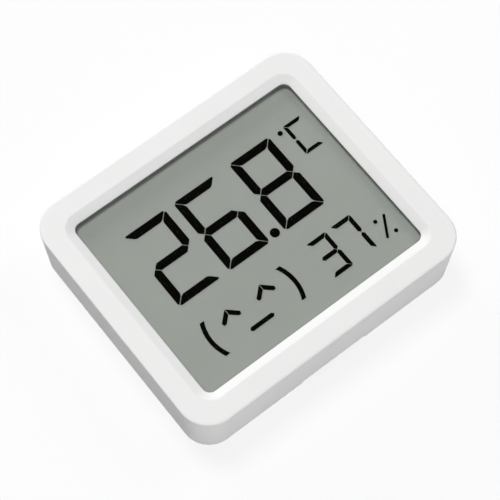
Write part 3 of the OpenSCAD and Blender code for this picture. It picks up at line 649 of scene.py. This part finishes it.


# Snap dome of the switch, bowed as at rest; the real dome flattens as the plunger goes in

def dome_mesh():
    """Thin dome bowed towards the plunger, from the box of its CAD node."""
    thickness = 0.1
    steps = 8
    low, high = (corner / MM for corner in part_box("switch_dome"))
    rise = high.z - low.z
    half = (high.x - low.x) / 2
    outer = (half ** 2 + rise ** 2) / (2 * rise)
    arcs = []
    for radius in (outer, outer - thickness):
        widest = math.acos((outer - rise) / radius)
        angles = [widest * step / steps for step in range(steps + 1)]
        arcs.append([(radius * math.sin(angle), low.z + outer - radius * math.cos(angle))
                     for angle in angles])
    bm = bmesh.new()
    lathe(bm, arcs[0] + arcs[1][::-1], SWITCH_AT, 48)
    return finished_mesh("dome_spring", bm)


dome = dress(placed("dome_spring", dome_mesh()), "housing", "contact_steel", "switch_dome")
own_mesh(dome)


# Repeated parts by Geometry Nodes

def named_tree(name, inputs, output):
    """Geometry tree with named inputs, their identifiers, and its input and output nodes."""
    tree = bpy.data.node_groups.new(name, "GeometryNodeTree")
    sockets = {}
    for label, kind in inputs:
        socket = tree.interface.new_socket(label, in_out="INPUT", socket_type="NodeSocket" + kind)
        sockets[label] = socket.identifier
    tree.interface.new_socket(output, in_out="OUTPUT", socket_type="NodeSocketGeometry")
    return tree, sockets, add_node(tree, "NodeGroupInput"), add_node(tree, "NodeGroupOutput")


def marks_tree():
    """Tree that sets one part on each mark, turned by the mark's own turn."""
    tree, sockets, given, result = named_tree(
        "parts_on_marks", (("Marks", "Geometry"), ("Part", "Object"), ("Size", "Float"),
                           ("Finish", "Material")), "Parts")
    part = add_node(tree, "GeometryNodeObjectInfo")
    turn = add_node(tree, "GeometryNodeInputNamedAttribute", {"Name": "turn"}, data_type="FLOAT")
    angles = add_node(tree, "ShaderNodeCombineXYZ")
    rotation = add_node(tree, "FunctionNodeEulerToRotation")
    spread = add_node(tree, "GeometryNodeInstanceOnPoints")
    real = add_node(tree, "GeometryNodeRealizeInstances")
    coat = add_node(tree, "GeometryNodeSetMaterial")
    link_all(tree, (
            (given.outputs["Marks"], spread.inputs["Points"]),
            (given.outputs["Part"], part.inputs["Object"]),
            (part.outputs["Geometry"], spread.inputs["Instance"]),
            (turn.outputs["Attribute"], angles.inputs["Z"]),
            (angles.outputs["Vector"], rotation.inputs["Euler"]),
            (rotation.outputs["Rotation"], spread.inputs["Rotation"]),
            (given.outputs["Size"], spread.inputs["Scale"]),
            (spread.outputs["Instances"], real.inputs["Geometry"]),
            (real.outputs["Geometry"], coat.inputs["Geometry"]),
            (given.outputs["Finish"], coat.inputs["Material"]),
            (coat.outputs["Geometry"], result.inputs["Parts"])))
    return tree, sockets


def repeated(name, part_mesh, marks, slot):
    """Piece with one part on each mark, given as x, y, z in millimetres and a turn in degrees."""
    mesh = bpy.data.meshes.new(name)
    mesh.from_pydata([(x * MM, y * MM, z * MM) for x, y, z, turn in marks], [], [])
    turns = mesh.attributes.new("turn", "FLOAT", "POINT")
    turns.data.foreach_set("value", [math.radians(turn) for x, y, z, turn in marks])
    piece = placed(name, mesh)
    part = placed(name + "_part", part_mesh)
    modifier = piece.modifiers.new("parts", "NODES")
    modifier.node_group = marks_group
    modifier[marks_sockets["Part"]] = part
    modifier[marks_sockets["Size"]] = 1.0
    modifier[marks_sockets["Finish"]] = finishes[slot]
    settle(piece)
    bpy.data.objects.remove(part)
    mark_smooth(piece.data)
    return piece


def thread_tree():
    """Tree that winds a ridge round a screw's core."""
    tree, sockets, given, result = named_tree(
        "screw_thread", (("Start", "Geometry"), ("Radius", "Float"), ("Ridge", "Float"), ("Turns", "Float"),
                         ("Height", "Float"), ("Finish", "Material")), "Thread")
    path = add_node(tree, "GeometryNodeCurveSpiral", {"Resolution": 20})
    section = add_node(tree, "GeometryNodeCurvePrimitiveCircle", {"Resolution": 4}, mode="RADIUS")
    sweep = add_node(tree, "GeometryNodeCurveToMesh", {"Fill Caps": True})
    real = add_node(tree, "GeometryNodeRealizeInstances")
    coat = add_node(tree, "GeometryNodeSetMaterial")
    link_all(tree, (
            (given.outputs["Radius"], path.inputs["Start Radius"]),
            (given.outputs["Radius"], path.inputs["End Radius"]),
            (given.outputs["Turns"], path.inputs["Rotations"]),
            (given.outputs["Height"], path.inputs["Height"]),
            (given.outputs["Ridge"], section.inputs["Radius"]),
            (path.outputs["Curve"], sweep.inputs["Curve"]),
            (section.outputs["Curve"], sweep.inputs["Profile Curve"]),
            (sweep.outputs["Mesh"], real.inputs["Geometry"]),
            (real.outputs["Geometry"], coat.inputs["Geometry"]),
            (given.outputs["Finish"], coat.inputs["Material"]),
            (coat.outputs["Geometry"], result.inputs["Thread"])))
    return tree, sockets


def screw_mesh():
    """Pan-head screw with a cross recess and a wound thread, its head face down."""
    tree, sockets = thread_tree()
    piece = placed("screw_thread", bpy.data.meshes.new("screw_thread"))
    modifier = piece.modifiers.new("thread", "NODES")
    modifier.node_group = tree
    core_r, head_r, head_t, tip = 0.6, 1.4, 0.8, 0.25
    slot_l, slot_w, slot_h = 1.6, 0.4, 0.9
    thread_r, ridge, pitch = 0.58, 0.11, 0.375
    thread_start, thread_stop = 0.25, 0.4
    height = SCREW_L - thread_start - thread_stop
    for label, value in (("Radius", thread_r * MM), ("Ridge", ridge * MM), ("Turns", height / pitch),
                         ("Height", height * MM), ("Finish", finishes["screw_steel"])):
        modifier[sockets[label]] = value
    settle(piece)
    bm = bmesh.new()
    bm.from_mesh(piece.data)
    bpy.data.objects.remove(piece)
    bmesh.ops.scale(bm, vec=(1 / MM, 1 / MM, 1 / MM), verts=bm.verts)
    bmesh.ops.translate(bm, vec=(0, 0, thread_start), verts=bm.verts)
    profile = [(0, -head_t), (head_r - 0.5, -head_t), (head_r - 0.3, 0.06 - head_t),
               (head_r - 0.14, 0.2 - head_t), (head_r - 0.04, 0.45 - head_t), (head_r, 0.7 - head_t),
               (head_r - 0.04, 0), (core_r, 0), (core_r, SCREW_L - tip), (core_r - tip, SCREW_L), (0, SCREW_L)]
    lathe(bm, profile, (0, 0), 48)
    head = placed("screw_part", finished_mesh("screw_part", bm))
    cross = bmesh.new()
    for size in ((slot_l, slot_w, slot_h), (slot_w, slot_l, slot_h)):
        slab(cross, (0, 0, -head_t), size, 0.04)
    cut(head, placed("cross_tool", finished_mesh("cross_tool", cross)), "DIFFERENCE")
    mesh = head.data
    bpy.data.objects.remove(head)
    return mesh


def block_mesh(name, sizes, soften):
    """Softened blocks, each as its middle and size."""
    bm = bmesh.new()
    for middle, size in sizes:
        slab(bm, middle, size, soften)
    return finished_mesh(name, bm)


def passive_marks():
    """Places of the passives round the chips, as in the part's source."""
    gap, pitch = 1.8, 2.2
    slot_gap, slot_w = 1.4, 0.8
    chip_reach = CHIP_W / 2 + gap
    switch_reach = SWITCH_W / 2 + 2 * gap
    sensor_reach = SENSOR_W / 2 + slot_gap + slot_w + gap
    spots = [(CHIP_AT, -chip_reach, (i - 1.5) * pitch, 90) for i in range(4)]
    spots += [(CHIP_AT, i * pitch, side * chip_reach, 0) for i in (-1, 0, 1) for side in (-1, 1)]
    spots += [(SWITCH_AT, switch_reach, (i - 0.5) * pitch, 90) for i in range(2)]
    spots += [(SENSOR_AT, sensor_reach + i * pitch, 0, 90) for i in range(2)]
    return [(middle[0] + x, middle[1] + y, BOARD_Z, turn) for middle, x, y, turn in spots]


def land_marks():
    """Solder lands round the radio chip, ten to a side."""
    per_side = 10
    pitch = 0.5
    marks = []
    for number, (side_x, side_y) in enumerate(((1, 0), (0, 1), (-1, 0), (0, -1))):
        for i in range(per_side):
            along = (i - (per_side - 1) / 2) * pitch
            marks.append((CHIP_AT[0] + side_x * CHIP_W / 2 - side_y * along,
                          CHIP_AT[1] + side_y * CHIP_W / 2 + side_x * along, BOARD_Z, number * 90))
    return marks


marks_group, marks_sockets = marks_tree()
boss_marks = [(side_x * BOSS_X, side_y * BOSS_Y, BOARD_Z, 20 * side_x + 10 * side_y)
              for side_x in (-1, 1) for side_y in (-1, 1)]
CORE_SIZE = (0.6, 0.48, 0.43)
CAP_SIZE = (0.22, 0.5, 0.45)
CAP_X = 0.39
LAND_SIZE = (0.4, 0.26, 0.06)
passive_z = -CAP_SIZE[2] / 2
land_middle = (LAND_SIZE[0] / 2, 0, -LAND_SIZE[2] / 2)
passive_body = block_mesh("passive_body", [((0, 0, passive_z), CORE_SIZE)], 0.02)
passive_cap = block_mesh("passive_cap", [((side * CAP_X, 0, passive_z), CAP_SIZE) for side in (-1, 1)], 0.05)
chip_land = block_mesh("chip_land", [(land_middle, LAND_SIZE)], 0.02)
for name, part_mesh, marks, slot, *replaced in (
        ("screw_set", screw_mesh(), boss_marks, "screw_steel", "board_screws"),
        ("passive_bodies", passive_body, passive_marks(), "passive_ceramic", "chip_passives"),
        ("passive_caps", passive_cap, passive_marks(), "contact_steel"),
        ("chip_lands", chip_land, land_marks(), "contact_steel")):
    dress(repeated(name, part_mesh, marks, slot), "housing", slot, *replaced)


# Finishes of the CAD nodes that stay

node_slots = {row["node"]: row["material_slot"] for row in frame["record"]["subparts"]}
for name, node in nodes.items():
    if not node.hide_render:
        node.data.materials.clear()
        node.data.materials.append(finishes[node_slots[name]])


# Floor, light and camera

def floor_material():
    """Pale floor that keeps a soft shadow and lets the camera see what swings below it."""
    material = bpy.data.materials.new("pale_floor")
    material.use_nodes = True
    tree = material.node_tree
    tree.nodes.clear()
    path = add_node(tree, "ShaderNodeLightPath")
    geometry = add_node(tree, "ShaderNodeNewGeometry")
    light_clear = 0.6
    camera_extra = 0.22
    seen = add_node(tree, "ShaderNodeMath", {1: camera_extra, 2: light_clear}, operation="MULTIPLY_ADD")
    passed = add_node(tree, "ShaderNodeMath", operation="MAXIMUM")
    clear = add_node(tree, "ShaderNodeMath", operation="MAXIMUM")
    diffuse = add_node(tree, "ShaderNodeBsdfDiffuse", {"Color": (0.95, 0.95, 0.95, 1)})
    through = add_node(tree, "ShaderNodeBsdfTransparent")
    mix = add_node(tree, "ShaderNodeMixShader")
    output = add_node(tree, "ShaderNodeOutputMaterial")
    link_all(tree, (
            (path.outputs["Is Camera Ray"], seen.inputs[0]),
            (seen.outputs["Value"], passed.inputs[0]),
            (path.outputs["Is Shadow Ray"], passed.inputs[1]),
            (passed.outputs["Value"], clear.inputs[0]),
            (geometry.outputs["Backfacing"], clear.inputs[1]),
            (clear.outputs["Value"], mix.inputs[0]),
            (diffuse.outputs["BSDF"], mix.inputs[1]),
            (through.outputs["BSDF"], mix.inputs[2]),
            (mix.outputs["Shader"], output.inputs["Surface"])))
    return material


def make_floor():
    """Plain floor just under the back face."""
    half = 1.5
    drop = 0.00002
    mesh = bpy.data.meshes.new("floor")
    corners = [(-half, -half, -drop), (half, -half, -drop), (half, half, -drop), (-half, half, -drop)]
    mesh.from_pydata(corners, [], [(0, 1, 2, 3)])
    mesh.materials.append(floor_material())
    placed("floor", mesh)


def make_world(ambient):
    """White for the camera, reflections and glass, and a soft ambient for the rest."""
    world = bpy.data.worlds.new("studio")
    scene.world = world
    world.use_nodes = True
    tree = world.node_tree
    background = tree.nodes["Background"]
    background.inputs["Color"].default_value = (1, 1, 1, 1)
    path = add_node(tree, "ShaderNodeLightPath")
    total = path.outputs["Is Camera Ray"]
    for label in ("Is Glossy Ray", "Is Transmission Ray"):
        either = add_node(tree, "ShaderNodeMath", operation="MAXIMUM")
        tree.links.new(total, either.inputs[0])
        tree.links.new(path.outputs[label], either.inputs[1])
        total = either.outputs["Value"]
    level = mapped(tree, total, ambient, 1.0, 0.0, 1.0)
    tree.links.new(level, background.inputs["Strength"])


def area_light(name, place, width, height, power):
    """Soft box that faces the middle of the device."""
    light = bpy.data.lights.new(name, "AREA")
    light.shape = "RECTANGLE"
    light.size = width
    light.size_y = height
    light.energy = power
    lamp = bpy.data.objects.new(name, light)
    lamp.location = place
    aim = Vector((0, 0, 0.006)) - Vector(place)
    lamp.rotation_euler = aim.to_track_quat("-Z", "Y").to_euler()
    scene.collection.objects.link(lamp)


def make_camera():
    """Camera that looks as the photograph's does."""
    forward = Vector((0.24991, 0.30951, -0.91747)).normalized()
    right = Vector((0.78751, -0.61627, 0.00661))
    right = (right - forward * right.dot(forward)).normalized()
    up = right.cross(forward)
    lens = bpy.data.cameras.new("photo_camera")
    lens.lens = 131.219
    lens.sensor_width = 36
    camera = bpy.data.objects.new("photo_camera", lens)
    turn = Matrix((right, up, -forward)).transposed().to_4x4()
    place = Vector((-82.61, -102.942, 308.258)) * MM
    camera.matrix_world = Matrix.Translation(place) @ turn
    scene.collection.objects.link(camera)
    scene.camera = camera


AMBIENT = 0.0
LIGHTS = (
    ("top_box", (0.0, 0.616, 1.691), 0.6, 0.6, 17.5),
    ("fill_box", (-0.554, -0.638, 1.589), 0.6, 0.6, 6.1),
    ("back_box", (0.0, 1.153, 0.331), 0.4, 0.4, 7.3),
    ("front_box", (-0.269, -1.165, 0.105), 0.4, 0.2, 3.6),
    ("corner_box", (-0.563, -1.059, 0.042), 0.5, 0.08, 1.9),
    ("right_box", (0.92, 0.0, 0.77), 0.5, 0.5, 2.8),
)
make_floor()
make_world(AMBIENT)
for light in LIGHTS:
    area_light(*light)
make_camera()
scene.view_settings.view_transform = "Standard"
